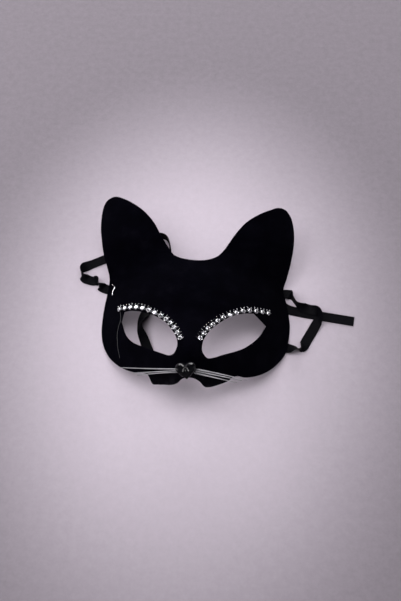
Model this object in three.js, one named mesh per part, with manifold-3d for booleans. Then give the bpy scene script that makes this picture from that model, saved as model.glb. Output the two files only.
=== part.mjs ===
// Cat eye mask, lying face up: formed shell, heart nose, whiskers, stone trims, staples and two ribbon ties.
// Millimetres, Z up, ears toward +Y, chin toward -Y, the wearer's side down on the surface at z = 0.
import * as THREE from "three";
import Module from "manifold-3d";

const wasm = await Module();
wasm.setup();

// Middle of the rigid parts in plan, which becomes the part's own origin.
const CENTRE = [-0.3, 12.2];

// Thicknesses and gaps.
const SHELL_THICK = 1.2;
const GAP = 0.32;
const TRIM_CLEAR = 0.6;
const BLANK_DISH = 4e-4;

// Small fittings.
const RIBBON_WIDTH = 9.5;
const RIBBON_THICK = 0.4;
const RIBBON_LOWEST = 0.15;
const TWIST_STEP = 0.12;
const STONE_PITCH = 7.35;
const STONE_RADIUS = 2.25;
const STONE_TABLE = 1.3;
const STONE_SUNK = 0.1;
const STONE_HEIGHT = 1.7;
const STRIP_WIDTH = 1.6;
const STRIP_THICK = 0.7;
const WHISKER_ROOT_RADIUS = { left: 0.6, right: 0.75 };
const WHISKER_TIP_RADIUS = 0.25;
const STAPLE_CROWN = 13.2;
const STAPLE_WIRE = 0.5;
const STAPLE_CLINCH = 3.8;
const STAPLE_STANDOFF = 0.6;
const STAPLE_BURIED = 0.35;
const STAPLE_HOLE = 1.6;
const HEART_WIDTH = 17.4;
const HEART_HEIGHT = 16.2;
const HEART_BODY = 1.6;
const HEART_BEVEL = 1.7;
const HEART_BEVEL_INSET = 2.2;

// Form of the shell, as a height over the plan: crest of the brow along the middle line,
// half width at which the brow comes down to the surface, ears, muzzle mound, nose ridge and front wall.
const CREST = [[-95, 30], [-70, 37], [-45, 44], [-20, 47.5], [10, 47], [36, 42], [60, 38], [120, 34]];
const HALF_WIDTH = [[-95, 68], [-70, 76], [-45, 83], [-20, 88], [10, 88], [35, 87], [120, 87]];
const LEFT_NARROWING = 0.97;
const RIM_LEVEL = 0.4;
const MUZZLE = { y: -61, halfWidth: 52, reachUp: 48, reachDown: 70, height: 18.5 };
const RIDGE = { halfWidth: 9, height: 5 };
const WALL = { y: -74.5, bend: 6, halfWidth: 36, slope: 3.7 };

// Plan of the rim, from the right end of the front wall up round both ears and down the left cheek.
const RIM = [
  [40, -69], [48.6, -68.5], [57.7, -65.2], [67.5, -59.1], [77.4, -49.3], [85, -37.8], [88.3, -24.6],
  [89.8, -10], [88.4, 4], [86.2, 15.5], [83.8, 26], [86.6, 36], [90.1, 48.5], [92.8, 65], [93, 79.5],
  [90.4, 92], [85.2, 98.1], [78, 98.4], [69.9, 94], [58.3, 86.8], [46.9, 78.1], [38.4, 68], [31.5, 57.4],
  [25.9, 49.2], [20.1, 43.2], [10.5, 38.7], [-1, 38], [-12.4, 40.2], [-20.4, 44.7], [-26.9, 53.7],
  [-32.7, 62.6], [-39.8, 75.2], [-48.5, 85.7], [-58.7, 94.3], [-71.7, 103.1], [-81.6, 107.8], [-89.8, 106],
  [-93.4, 97.5], [-94, 81.4], [-91.5, 65], [-88.7, 51.7], [-84.9, 40.3], [-83.1, 33], [-84.1, 23],
  [-86.2, 7.1], [-86.9, -9], [-86.3, -21.5], [-83.3, -34.1], [-76.4, -46.6], [-67.6, -55.9], [-57.8, -62.7],
  [-48.2, -66.9], [-37.6, -69.2],
];
// Lower edge of the front wall as [x, z], left to right, with the arch under the nose in its middle.
const WALL_EDGE = [
  [-35.7, 21], [-33.4, 14], [-28.3, 17.6], [-21.6, 22.4], [-15.2, 26.2], [-10.6, 30.8], [-6.2, 38.5],
  [-2, 41.5], [2.7, 41.3], [6.1, 38.9], [9.4, 34.4], [11.8, 28.4], [13.9, 24.9], [17, 23.3], [25.6, 22.4],
  [34.2, 22.4], [36.5, 24.5],
];
// Plans of the eye holes, each a smooth run between its two outer corners, closed by a short straight slant.
const EYE_RIGHT = [
  [55.6, -9.3], [47.8, -11.8], [37.8, -16.2], [27.8, -23.5], [17.1, -36.3], [12.3, -46.5], [10.7, -54],
  [11.2, -59.2], [15.4, -63.2], [21.6, -61.1], [27.9, -57.1], [43.8, -47], [51.1, -41.1], [57.5, -34.6],
  [62.3, -27.9], [67.4, -17.9],
];
const EYE_LEFT = [
  [-66.3, -17], [-62.5, -27.6], [-58.6, -34.6], [-53, -40.2], [-44.2, -45.8], [-31.6, -53.6], [-23.6, -58.4],
  [-17.4, -61.4], [-12.8, -60.6], [-10.4, -55.6], [-10.6, -49.3], [-13.3, -42.3], [-17.4, -35.2],
  [-22.6, -27.8], [-29.1, -22], [-37.3, -17], [-49.3, -11.5], [-59.7, -8], [-64.4, -7.6],
];
const TRIM_LEFT = [
  [-68.1, -4.4], [-56.3, -6.5], [-45.8, -10], [-34.1, -16.6], [-23.2, -24.5], [-14.6, -35.8], [-7.6, -48.8],
];
const TRIM_RIGHT = [
  [67.9, -5.4], [58.2, -7.3], [46.9, -10.2], [36, -16], [25.7, -23], [16.2, -34.5], [8.4, -48.2],
];
const NOSE_AT = { x: -1.9, y: -72.8, slope: 55, lean: 8 };

// Whiskers: the root as [x, y], then the middle and the tip as [x, y, z].
const WHISKERS = {
  whisker_left_upper: [[-9.4, -72.7], [-32.6, -73.3, 50], [-59, -71.3, 45]],
  whisker_left_middle: [[-8.6, -73.5], [-28.2, -76, 50], [-47, -76.1, 46]],
  whisker_left_lower: [[-7.4, -74.3], [-25.6, -77.1, 50], [-43.5, -78, 46]],
  whisker_right_upper: [[6.4, -72.7], [26.5, -76.9, 52], [49, -80.1, 48]],
  whisker_right_middle: [[5.8, -73.7], [26.6, -78.7, 52], [45, -80.8, 48]],
  whisker_right_lower: [[4.6, -74.6], [22.4, -80.3, 52], [41, -82.7, 48]],
};
// The left staple is driven from outside. The right one is driven from inside, and its leg ends
// stay in the shell.
const STAPLES = { left: { x: -78.5, y: 21.6, outside: true }, right: { x: 79.2, y: 20.5, outside: false } };

// Ribbon routes: [x, y, height of the lower edge, bank in degrees, where 0 lies flat and 90 stands on edge].
// A height below zero is a depth under the shell's inner face, where the ribbon is stapled.
const RIBBON_LEFT = [
  [-73.5, 21.6, -0.5, 0], [-78.5, 21.6, -0.42, 0], [-82.8, 23.4, -1.6, 0], [-86.4, 25.2, 0.35, 0],
  [-89.4, 26.2, 0.3, -6], [-92.2, 26.8, 0.25, -64], [-93.7, 27.8, 0.25, -86], [-94.1, 29.6, 0.25, -94],
  [-94.7, 31.5, 0.25, -66], [-97.5, 33.3, 0.25, -32], [-100.8, 33.7, 0.25, -8], [-104.6, 34.8, 0.25, 0],
  [-108.8, 35.8, 0.25, -32], [-111.6, 38.4, 0.25, -80], [-112.3, 41.8, 0.25, -92],
  [-111.4, 45.4, 0.25, -116], [-107.8, 49.6, 0.25, -162], [-102, 53.2, 0.25, -180],
  [-94, 57.2, 0.25, -180], [-84, 62.2, 0.25, -180], [-50, 79, 0.25, -166], [-40.5, 82.8, 0.25, -125],
  [-35, 83.8, 0.25, -98], [-30.9, 81.6, 0.25, -92], [-28.5, 77, 0.25, -92], [-27.4, 70, 0.25, -102],
  [-28.6, 60, 0.25, -145], [-35, 38, 0.25, -180], [-41.5, 17, 0.25, -180], [-46, 2, 0.25, -172],
  [-49.5, -6.5, 0.25, -140], [-50.9, -13, 0.25, -120], [-50, -18, 0.25, -128], [-46.4, -25.6, 0.25, -152],
  [-42.2, -35.5, 0.25, -166], [-37, -45, 0.25, -180], [-27, -52.5, 0.25, -180], [12, -54, 0.25, -180],
  [34, -53, 0.25, -180], [47, -52, 0.25, -180],
];
const RIBBON_RIGHT = [
  [74, 20.5, -0.42, 0], [79.2, 20.5, -0.42, 0], [82.9, 21.9, -1.5, 0], [86.2, 24.5, 0.9, -2],
  [88.8, 24.1, 0.9, 8], [90.8, 21.7, 1, 58], [92.4, 18.6, 1, 86], [94.1, 15.4, 1, 90],
  [96.4, 12.2, 1, 88], [99.4, 10.2, 1, 70], [103, 9.4, 1, 30], [108.6, 8.9, 1, 4], [113.6, 7, 1, 30],
  [117, 4, 1, 66], [117.8, 0, 0.9, 58], [115.4, -5, 0.6, 18], [110.3, -14.3, 0.25, 0],
  [105.2, -23.3, 0.25, 0], [102.6, -28.5, 0.25, -14], [100.6, -31.2, 0.25, -54], [98.8, -33.7, 0.25, -90],
  [94.6, -33, 0.25, -130], [90, -31.9, 0.25, -170], [82.6, -28.7, 0.25, -180], [76.5, -21, 0.25, -160],
  [74.6, -11, 0.25, -155], [73.2, 0, 0.25, -170], [66, 8.5, 0.25, -180], [52, 12.5, 0.25, -180],
  [30, 14.5, 0.25, -180], [17, 19, 0.25, -135], [14.5, 25.5, 0.25, -95], [20, 31, 0.25, -135],
  [34, 31, 0.25, -180], [60, 25.6, 0.25, -180], [79.5, 15, 0.25, -180], [88, 8.8, 0.25, -180],
  [100, 5.8, 0.25, -180], [116, 3.1, 0.25, -180], [150, -2.2, 0.25, -180],
];

// Cloth, plastic and metal colours.
const VELVET = 0x0a0910;
const GLOSS_BLACK = 0x08080a;
const SATIN = 0x17161b;
const BRISTLE = 0xb9b6b8;
const SILVER = 0xc9c9cf;

const clamp01 = (t) => Math.min(1, Math.max(0, t));
const rad = THREE.MathUtils.degToRad;

// Smooth rise from 0 at a to 1 at b.
function rise(a, b, t) {
  const s = clamp01((t - a) / (b - a));
  return s * s * (3 - 2 * s);
}

// Zero below zero and t above it, with a soft bend of the given size.
function softPositive(t, soft) {
  return 0.5 * (t + Math.sqrt(t * t + soft * soft));
}

// Slopes of a smooth curve through values at the given stations.
function slopesOf(stations, values) {
  const last = stations.length - 1;
  return stations.map((s, i) => {
    const a = Math.max(0, i - 1);
    const b = Math.min(last, i + 1);
    return (values[b] - values[a]) / (stations[b] - stations[a]);
  });
}

// Value at t of the smooth curve through the values.
function through(stations, values, slopes, t) {
  const last = stations.length - 1;
  const at = Math.min(stations[last], Math.max(stations[0], t));
  let i = 0;
  while (i < last - 1 && at > stations[i + 1]) i += 1;
  const h = stations[i + 1] - stations[i];
  const s = (at - stations[i]) / h;
  const r = 1 - s;
  return (1 + 2 * s) * r * r * values[i] + s * r * r * h * slopes[i]
    + s * s * (3 - 2 * s) * values[i + 1] - s * s * r * h * slopes[i + 1];
}

// A function of t from [station, value] pairs.
function profile(pairs) {
  const stations = pairs.map((p) => p[0]);
  const values = pairs.map((p) => p[1]);
  const slopes = slopesOf(stations, values);
  return (t) => through(stations, values, slopes, t);
}

// Points along the smooth curve through the given points, at about the given step, closer where a
// fourth number, the bank in degrees, turns.
function smoothRun(points, step) {
  const stations = [0];
  for (let i = 1; i < points.length; i += 1) {
    const d = points[i].map((v, k) => v - points[i - 1][k]);
    stations.push(stations[i - 1] + Math.hypot(...d.slice(0, 3)) + TWIST_STEP * Math.abs(d[3] || 0));
  }
  const axes = points[0].map((_, k) => points.map((p) => p[k]));
  const slopes = axes.map((values) => slopesOf(stations, values));
  const total = stations[stations.length - 1];
  const count = Math.round(total / step);
  return Array.from({ length: count + 1 }, (_, i) => {
    const t = (total * i) / count;
    return axes.map((values, k) => through(stations, values, slopes[k], t));
  });
}

const crestAt = profile(CREST);
const halfWidthAt = profile(HALF_WIDTH);

// How far the rim stands above its lowest stretch, so that the ribbons pass under it.
function rimLift(x, y) {
  if (x > 0) {
    return 1.1 * rise(-3, 4, y) + 3.4 * rise(6, 35, y) + 1.7 * rise(18, 26, -y) + 3 * rise(26, 50, -y);
  }
  return 1.7 * rise(12, 20, y) + 3 * rise(20, 40, y) + 3 * rise(34, 54, -y);
}

// Height of the shell's outer face over the plan.
function face(x, y) {
  const a = Math.abs(x);
  const half = halfWidthAt(y) * (x < 0 ? LEFT_NARROWING : 1);
  const low = RIM_LEVEL + rimLift(x, y);
  const brow = low + softPositive(crestAt(y) * (1 - (a / half) ** 2) - low, 3);
  const ear = 40 + 0.15 * (y - 60) - 0.0075 * softPositive(a - 45, 4) ** 2;
  const away = (y - MUZZLE.y) / (y > MUZZLE.y ? MUZZLE.reachUp : MUZZLE.reachDown);
  const spread = ((a / MUZZLE.halfWidth) ** 2.5 + Math.abs(away) ** 2.5) ** 0.4;
  const middle = Math.exp(-((a / RIDGE.halfWidth) ** 2));
  const wallLine = WALL.y + WALL.bend * (a / WALL.halfWidth) ** 2;
  const wallSoft = 1.5 + 2.5 * Math.exp(-((a / 10) ** 2));
  return brow + (ear - brow) * rise(22, 64, y)
    + MUZZLE.height * rise(0, 1, 1 - spread)
    + RIDGE.height * middle * (1 - rise(-64, -38, y))
    - WALL.slope * softPositive(wallLine - y, wallSoft) * (1 - rise(36, 44, a));
}

// Unit normal of the outer face.
function normalAt(x, y) {
  const d = 0.02;
  const fx = (face(x + d, y) - face(x - d, y)) / (2 * d);
  const fy = (face(x, y + d) - face(x, y - d)) / (2 * d);
  return new THREE.Vector3(-fx, -fy, 1).normalize();
}

// Point at a height above the outer face, measured along its normal.
function onFace(x, y, height) {
  return new THREE.Vector3(x, y, face(x, y)).addScaledVector(normalAt(x, y), height);
}

// Plan point of the front wall at a given x and height.
function onWall([x, z]) {
  let high = WALL.y + 6;
  let low = -95;
  for (let i = 0; i < 40; i += 1) {
    const y = (high + low) / 2;
    if (face(x, y) > z) high = y;
    else low = y;
  }
  return [x, (high + low) / 2];
}

// Geometry from points and triangles, turned so that its faces point outwards.
function geometryOf(points, triangles) {
  const v = points.map((p) => (p.isVector3 ? p : new THREE.Vector3(...p)));
  let volume = 0;
  for (const [a, b, c] of triangles) volume += v[a].dot(new THREE.Vector3().crossVectors(v[b], v[c]));
  const index = triangles.flatMap(([a, b, c]) => (volume < 0 ? [a, c, b] : [a, b, c]));
  const g = new THREE.BufferGeometry();
  g.setAttribute("position", new THREE.Float32BufferAttribute(v.flatMap((p) => [p.x, p.y, p.z]), 3));
  g.setIndex(index);
  return g;
}

// Solid through rings of equal point counts, closed flat at both ends. Opposite sides are split along
// the same diagonal, so that a thin twisted band keeps its thickness.
function loft(rings) {
  const m = rings[0].length;
  const points = rings.flat();
  const triangles = [];
  for (let i = 0; i + 1 < rings.length; i += 1) {
    for (let k = 0; k < m; k += 1) {
      const a = i * m + k;
      const b = i * m + ((k + 1) % m);
      if (k < m / 2) triangles.push([a, b, b + m], [a, b + m, a + m]);
      else triangles.push([a, b, a + m], [b, b + m, a + m]);
    }
  }
  const end = (rings.length - 1) * m;
  for (let k = 1; k + 1 < m; k += 1) triangles.push([0, k + 1, k], [end, end + k, end + k + 1]);
  return geometryOf(points, triangles);
}

function toSolid(geometry) {
  const key = (x, y, z) => `${x.toFixed(4)},${y.toFixed(4)},${z.toFixed(4)}`;
  const position = geometry.getAttribute("position");
  const seen = new Map();
  const coords = [];
  const where = [];
  for (let i = 0; i < position.count; i += 1) {
    const p = [position.getX(i), position.getY(i), position.getZ(i)];
    const k = key(...p);
    if (!seen.has(k)) {
      seen.set(k, coords.length / 3);
      coords.push(...p);
    }
    where.push(seen.get(k));
  }
  const order = geometry.index ? Array.from(geometry.index.array) : where.map((_, i) => i);
  const triangles = [];
  for (let i = 0; i < order.length; i += 3) {
    const [a, b, c] = [where[order[i]], where[order[i + 1]], where[order[i + 2]]];
    if (a !== b && b !== c && c !== a) triangles.push(a, b, c);
  }
  return new wasm.Manifold(new wasm.Mesh({
    numProp: 3,
    vertProperties: new Float32Array(coords),
    triVerts: new Uint32Array(triangles),
  }));
}

function fromSolid(solid) {
  const mesh = solid.getMesh();
  const g = new THREE.BufferGeometry();
  const count = mesh.vertProperties.length / mesh.numProp;
  const coords = new Float32Array(count * 3);
  for (let i = 0; i < count; i += 1) {
    for (let k = 0; k < 3; k += 1) coords[i * 3 + k] = mesh.vertProperties[i * mesh.numProp + k];
  }
  g.setAttribute("position", new THREE.BufferAttribute(coords, 3));
  g.setIndex(Array.from(mesh.triVerts));
  return g;
}

// Upright prism over a plan polygon.
function prism(plan, bottom, top) {
  const shape = new THREE.Shape(plan.map(([x, y]) => new THREE.Vector2(x, y)));
  const g = new THREE.ExtrudeGeometry(shape, { depth: top - bottom, bevelEnabled: false, curveSegments: 1 });
  g.translate(0, 0, bottom);
  return toSolid(g);
}

// Grid lines from a to b with the given spacing, ends included.
function lines(a, b, spacing) {
  const n = Math.round((b - a) / spacing);
  return Array.from({ length: n + 1 }, (_, i) => a + ((b - a) * i) / n);
}

// The shell is first cut from a thin dished blank in plan, then formed over the face.
function shellGeometry() {
  const dish = (x, y) => BLANK_DISH * (x * x + y * y);
  const xs = [...lines(-97, -45, 5.7), ...lines(-40.5, 40.5, 4.5), ...lines(45, 97, 5.7)];
  const ys = [...lines(-87, -67, 1.8), ...lines(-63, -25, 3.8), ...lines(-19.5, 112, 6.3)];
  const nx = xs.length;
  const points = [];
  for (const level of [1, 0]) {
    for (const y of ys) for (const x of xs) points.push([x, y, level + dish(x, y)]);
  }
  const layer = nx * ys.length;
  const triangles = [];
  for (let j = 0; j + 1 < ys.length; j += 1) {
    for (let i = 0; i + 1 < nx; i += 1) {
      const a = j * nx + i;
      const [b, c, d] = [a + 1, a + nx + 1, a + nx];
      triangles.push([a, b, c], [a, c, d]);
      triangles.push([a + layer, c + layer, b + layer], [a + layer, d + layer, c + layer]);
    }
  }
  const edge = [];
  for (let i = 0; i < nx - 1; i += 1) edge.push(i);
  for (let j = 0; j < ys.length - 1; j += 1) edge.push(j * nx + nx - 1);
  for (let i = nx - 1; i > 0; i -= 1) edge.push((ys.length - 1) * nx + i);
  for (let j = ys.length - 1; j > 0; j -= 1) edge.push(j * nx);
  edge.forEach((a, k) => {
    const b = edge[(k + 1) % edge.length];
    triangles.push([a, a + layer, b + layer], [a, b + layer, b]);
  });
  const rim = [...smoothRun(RIM, 4.6), ...smoothRun(WALL_EDGE, 3.2).map(onWall)];
  let blank = toSolid(geometryOf(points, triangles)).intersect(prism(rim, -5, 30));
  for (const eye of [EYE_RIGHT, EYE_LEFT]) {
    blank = blank.subtract(prism(smoothRun(eye, 3.9), -5, 30));
  }
  for (const staple of Object.values(STAPLES)) {
    for (const side of [-1, 1]) {
      const [x, y] = stapleHole(staple, side);
      const half = STAPLE_HOLE / 2;
      const corners = [[-1, -1], [1, -1], [1, 1], [-1, 1]].map(([u, v]) => [x + u * half, y + v * half]);
      blank = blank.subtract(prism(corners, -5, 30));
    }
  }
  const g = fromSolid(blank);
  const position = g.getAttribute("position");
  for (let i = 0; i < position.count; i += 1) {
    const [x, y, z] = [position.getX(i), position.getY(i), position.getZ(i)];
    const outer = z - dish(x, y) > 0.5;
    const p = onFace(x, y, outer ? 0 : -SHELL_THICK);
    position.setXYZ(i, p.x, p.y, p.z);
  }
  return g;
}

// Frame on the face: along +Y, across toward +X, and outwards.
function frameAt(x, y) {
  const out = normalAt(x, y);
  const across = new THREE.Vector3(0, 1, 0).cross(out).normalize();
  const along = new THREE.Vector3().crossVectors(out, across);
  return { out, across, along, at: new THREE.Vector3(x, y, face(x, y)) };
}

// Plan point of the hole that a staple's leg takes through the shell.
function stapleHole({ x, y }, side) {
  const { out, along, at } = frameAt(x, y);
  const leg = at.clone().addScaledVector(along, (side * (STAPLE_CROWN - STAPLE_WIRE)) / 2);
  leg.addScaledVector(out, -SHELL_THICK / 2);
  let plan = [leg.x, leg.y];
  for (let i = 0; i < 8; i += 1) {
    const reached = onFace(plan[0], plan[1], -SHELL_THICK / 2);
    plan = [plan[0] + leg.x - reached.x, plan[1] + leg.y - reached.y];
  }
  return plan;
}

// Staple over the ribbon's end. Driven from outside, its crown is outside and its legs are clinched
// under the ribbon. Driven from inside, its crown holds the ribbon and its legs end in the shell.
function stapleGeometry({ x, y, outside }) {
  const { out, across, along, at } = frameAt(x, y);
  const r = STAPLE_WIRE / 2;
  const high = GAP + STAPLE_STANDOFF + r;
  const low = -(SHELL_THICK + GAP + RIBBON_THICK + 3 * GAP + r);
  const reach = (STAPLE_CROWN - STAPLE_WIRE) / 2;
  const path = outside
    ? [
      [-reach + STAPLE_CLINCH, low], [-reach, low], [-reach, high],
      [reach, high], [reach, low], [reach - STAPLE_CLINCH, low],
    ]
    : [[-reach, -STAPLE_BURIED], [-reach, low], [reach, low], [reach, -STAPLE_BURIED]];
  const unit = ([a, b], [c, d]) => {
    const l = Math.hypot(c - a, d - b);
    return [(c - a) / l, (d - b) / l];
  };
  const rings = path.map((p, i) => {
    const before = unit(path[Math.max(0, i - 1)], path[Math.max(1, i)]);
    const after = unit(path[Math.min(path.length - 2, i)], path[Math.min(path.length - 1, i + 1)]);
    const mid = unit([0, 0], [before[0] + after[0], before[1] + after[1]]);
    const stretch = 1 / (mid[0] * before[0] + mid[1] * before[1]);
    return Array.from({ length: 6 }, (_, k) => {
      const turn = (k * Math.PI) / 3;
      const inPlane = r * Math.sin(turn) * stretch;
      return at.clone()
        .addScaledVector(along, p[0] - mid[1] * inPlane)
        .addScaledVector(out, p[1] + mid[0] * inPlane)
        .addScaledVector(across, r * Math.cos(turn));
    });
  });
  return loft(rings);
}

// Rings of a flat ribbon along a route of [x, y, height, bank].
function ribbonRings(route) {
  const half = RIBBON_WIDTH / 2;
  const stand = (bank) => {
    const lean = rad(bank);
    return half * Math.abs(Math.sin(lean)) + (RIBBON_THICK / 2) * Math.abs(Math.cos(lean));
  };
  const points = route.map(([x, y, height, bank]) => {
    if (height > 0) return [x, y, height, bank];
    const p = onFace(x, y, height - SHELL_THICK - RIBBON_THICK / 2);
    return [p.x, p.y, p.z - stand(bank), bank];
  });
  const run = smoothRun(points, 5.5).map(([x, y, low, bank]) => {
    return [x, y, Math.max(low, RIBBON_LOWEST) + stand(bank), bank];
  });
  const up = new THREE.Vector3(0, 0, 1);
  return run.map(([x, y, z, bank], i) => {
    const a = run[Math.max(0, i - 1)];
    const b = run[Math.min(run.length - 1, i + 1)];
    const ahead = new THREE.Vector3(b[0] - a[0], b[1] - a[1], b[2] - a[2]).normalize();
    const level = new THREE.Vector3().crossVectors(up, ahead).normalize();
    const raised = new THREE.Vector3().crossVectors(ahead, level);
    const lean = rad(bank);
    const wide = level.clone().multiplyScalar(Math.cos(lean)).addScaledVector(raised, Math.sin(lean));
    const thin = raised.clone().multiplyScalar(Math.cos(lean)).addScaledVector(level, -Math.sin(lean));
    const corner = (s, t) => new THREE.Vector3(x, y, z)
      .addScaledVector(wide, s * half)
      .addScaledVector(thin, (t * RIBBON_THICK) / 2);
    return [corner(-1, -1), corner(1, -1), corner(1, 1), corner(-1, 1)];
  });
}

// Tapered round bristle from its root on the muzzle through a middle point to its tip.
function whiskerGeometry([root, middle, tip]) {
  const rootRadius = root[0] < 0 ? WHISKER_ROOT_RADIUS.left : WHISKER_ROOT_RADIUS.right;
  const start = onFace(root[0], root[1], GAP + rootRadius);
  const run = smoothRun([start.toArray(), middle, tip], 9);
  const up = new THREE.Vector3(0, 0, 1);
  const rings = run.map((p, i) => {
    const a = run[Math.max(0, i - 1)];
    const b = run[Math.min(run.length - 1, i + 1)];
    const ahead = new THREE.Vector3(b[0] - a[0], b[1] - a[1], b[2] - a[2]).normalize();
    const level = new THREE.Vector3().crossVectors(up, ahead).normalize();
    const raised = new THREE.Vector3().crossVectors(ahead, level);
    const r = THREE.MathUtils.lerp(rootRadius, WHISKER_TIP_RADIUS, i / (run.length - 1));
    return Array.from({ length: 6 }, (_, k) => new THREE.Vector3(...p)
      .addScaledVector(level, r * Math.cos((k * Math.PI) / 3))
      .addScaledVector(raised, r * Math.sin((k * Math.PI) / 3)));
  });
  return loft(rings);
}

// One row of round stones on a narrow carrier strip, moulded in one piece.
function trimGeometry(line) {
  const run = smoothRun(line.map(([x, y]) => onFace(x, y, 0).toArray()), 1);
  let length = 0;
  for (let i = 1; i < run.length; i += 1) length += Math.hypot(...run[i].map((v, k) => v - run[i - 1][k]));
  const count = Math.round(length / STONE_PITCH);
  const frameOn = (t) => {
    const at = t * (run.length - 1);
    const i = Math.min(run.length - 2, Math.floor(at));
    const plan = [0, 1].map((k) => THREE.MathUtils.lerp(run[i][k], run[i + 1][k], at - i));
    const out = normalAt(plan[0], plan[1]);
    const ahead = new THREE.Vector3(...run[i + 1].map((v, k) => v - run[i][k]));
    ahead.addScaledVector(out, -ahead.dot(out)).normalize();
    const side = new THREE.Vector3().crossVectors(out, ahead);
    return { foot: onFace(plan[0], plan[1], TRIM_CLEAR), out, ahead, side };
  };
  const strip = Array.from({ length: count + 1 }, (_, i) => {
    const f = frameOn(i / count);
    return [[-1, 0], [1, 0], [1, 1], [-1, 1]].map(([s, t]) => f.foot.clone()
      .addScaledVector(f.side, (s * STRIP_WIDTH) / 2)
      .addScaledVector(f.out, t * STRIP_THICK));
  });
  let solid = toSolid(loft(strip));
  for (let i = 0; i <= count; i += 1) {
    const f = frameOn(i / count);
    const ring = (radius, height) => Array.from({ length: 6 }, (_, k) => f.foot.clone()
      .addScaledVector(f.ahead, radius * Math.cos((k * Math.PI) / 3))
      .addScaledVector(f.side, radius * Math.sin((k * Math.PI) / 3))
      .addScaledVector(f.out, height));
    const stone = [ring(STONE_RADIUS, STONE_SUNK), ring(STONE_TABLE, STONE_HEIGHT)];
    solid = solid.add(toSolid(loft(stone)));
  }
  return fromSolid(solid);
}

// Heart nose with one broad bevel, standing just clear of the muzzle.
function heartGeometry() {
  const w = HEART_WIDTH / 2;
  const h = HEART_HEIGHT;
  const shape = new THREE.Shape();
  shape.moveTo(0, -0.55 * h);
  shape.bezierCurveTo(0.35 * w, -0.36 * h, w, -0.12 * h, w, 0.14 * h);
  shape.bezierCurveTo(w, 0.4 * h, 0.45 * w, 0.5 * h, 0, 0.3 * h);
  shape.bezierCurveTo(-0.45 * w, 0.5 * h, -w, 0.4 * h, -w, 0.14 * h);
  shape.bezierCurveTo(-w, -0.12 * h, -0.35 * w, -0.36 * h, 0, -0.55 * h);
  const g = new THREE.ExtrudeGeometry(shape, {
    depth: HEART_BODY,
    bevelThickness: HEART_BEVEL,
    bevelSize: HEART_BEVEL_INSET,
    bevelOffset: -HEART_BEVEL_INSET,
    bevelSegments: 2,
    curveSegments: 5,
  });
  const out = new THREE.Vector3(0, -Math.sin(rad(NOSE_AT.slope)), Math.cos(rad(NOSE_AT.slope)));
  const right = new THREE.Vector3(1, 0, 0).applyAxisAngle(out, rad(NOSE_AT.lean));
  const up = new THREE.Vector3().crossVectors(out, right);
  const centre = new THREE.Vector3(NOSE_AT.x, NOSE_AT.y, face(NOSE_AT.x, NOSE_AT.y));
  let clear = -Infinity;
  for (let u = -0.6; u <= 0.6; u += 0.1) {
    for (let v = -0.6; v <= 0.6; v += 0.1) {
      const x = centre.x + right.x * u * HEART_WIDTH + up.x * v * h;
      const y = centre.y + right.y * u * HEART_WIDTH + up.y * v * h;
      clear = Math.max(clear, onFace(x, y, GAP).sub(centre).dot(out));
    }
  }
  const pose = new THREE.Matrix4().makeBasis(right, up, out);
  pose.setPosition(centre.addScaledVector(out, clear + HEART_BEVEL));
  g.applyMatrix4(pose);
  return fromSolid(toSolid(g));
}

const group = new THREE.Group();
group.name = "cat_eye_mask";
group.position.set(-CENTRE[0], -CENTRE[1], 0);

function piece(name, geometry, color, roughness, metalness) {
  const material = new THREE.MeshStandardMaterial({ color, roughness, metalness });
  const mesh = new THREE.Mesh(geometry, material);
  mesh.name = name;
  group.add(mesh);
}

piece("mask_shell", shellGeometry(), VELVET, 1, 0);
piece("nose_heart", heartGeometry(), GLOSS_BLACK, 0.15, 0);
piece("trim_left", trimGeometry(TRIM_LEFT), SILVER, 0.2, 1);
piece("trim_right", trimGeometry(TRIM_RIGHT), SILVER, 0.2, 1);
for (const [name, points] of Object.entries(WHISKERS)) piece(name, whiskerGeometry(points), BRISTLE, 0.5, 0);
piece("staple_left", stapleGeometry(STAPLES.left), SILVER, 0.3, 1);
piece("staple_right", stapleGeometry(STAPLES.right), SILVER, 0.3, 1);
piece("ribbon_left", loft(ribbonRings(RIBBON_LEFT)), SATIN, 0.5, 0);
piece("ribbon_right", loft(ribbonRings(RIBBON_RIGHT)), SATIN, 0.5, 0);

export default group;
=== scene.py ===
# Cat eye mask lying face up on a pale table: velvet shell, heart nose, whiskers, stone trims and ribbon ties.
# Plan measures are in millimetres, ears toward +Y, and become metres in the part's own frame at the end.
import math

import bmesh
import bpy
import numpy as np
from mathutils import Matrix, Vector, noise
from mathutils.geometry import delaunay_2d_cdt


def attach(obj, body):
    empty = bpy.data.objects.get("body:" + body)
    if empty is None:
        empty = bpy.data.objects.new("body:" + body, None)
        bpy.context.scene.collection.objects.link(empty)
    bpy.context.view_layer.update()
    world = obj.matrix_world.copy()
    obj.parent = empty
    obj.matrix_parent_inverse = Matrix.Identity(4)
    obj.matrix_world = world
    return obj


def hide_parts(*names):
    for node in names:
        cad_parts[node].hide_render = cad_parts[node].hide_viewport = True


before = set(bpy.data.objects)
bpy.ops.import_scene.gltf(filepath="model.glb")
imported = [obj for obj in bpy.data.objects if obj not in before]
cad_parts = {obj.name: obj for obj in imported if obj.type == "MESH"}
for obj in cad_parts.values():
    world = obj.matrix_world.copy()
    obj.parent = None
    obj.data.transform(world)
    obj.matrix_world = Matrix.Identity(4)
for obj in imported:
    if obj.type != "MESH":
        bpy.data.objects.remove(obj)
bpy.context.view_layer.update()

# Thicknesses, gaps and small fittings, the same values as the part's own.
CENTRE = (-0.3, 12.2)
SHELL_THICK = 1.2
GAP = 0.32
TRIM_CLEAR = 0.6
RIBBON_WIDTH = 9.5
RIBBON_THICK = 0.4
RIBBON_LOWEST = 0.15
TWIST_STEP = 0.12
STONE_PITCH = 7.35
WHISKER_ROOT_RADIUS = {"left": 0.6, "right": 0.75}
WHISKER_TIP_RADIUS = 0.25
STAPLE_CROWN = 13.2
STAPLE_WIRE = 0.5
STAPLE_CLINCH = 3.8
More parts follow.
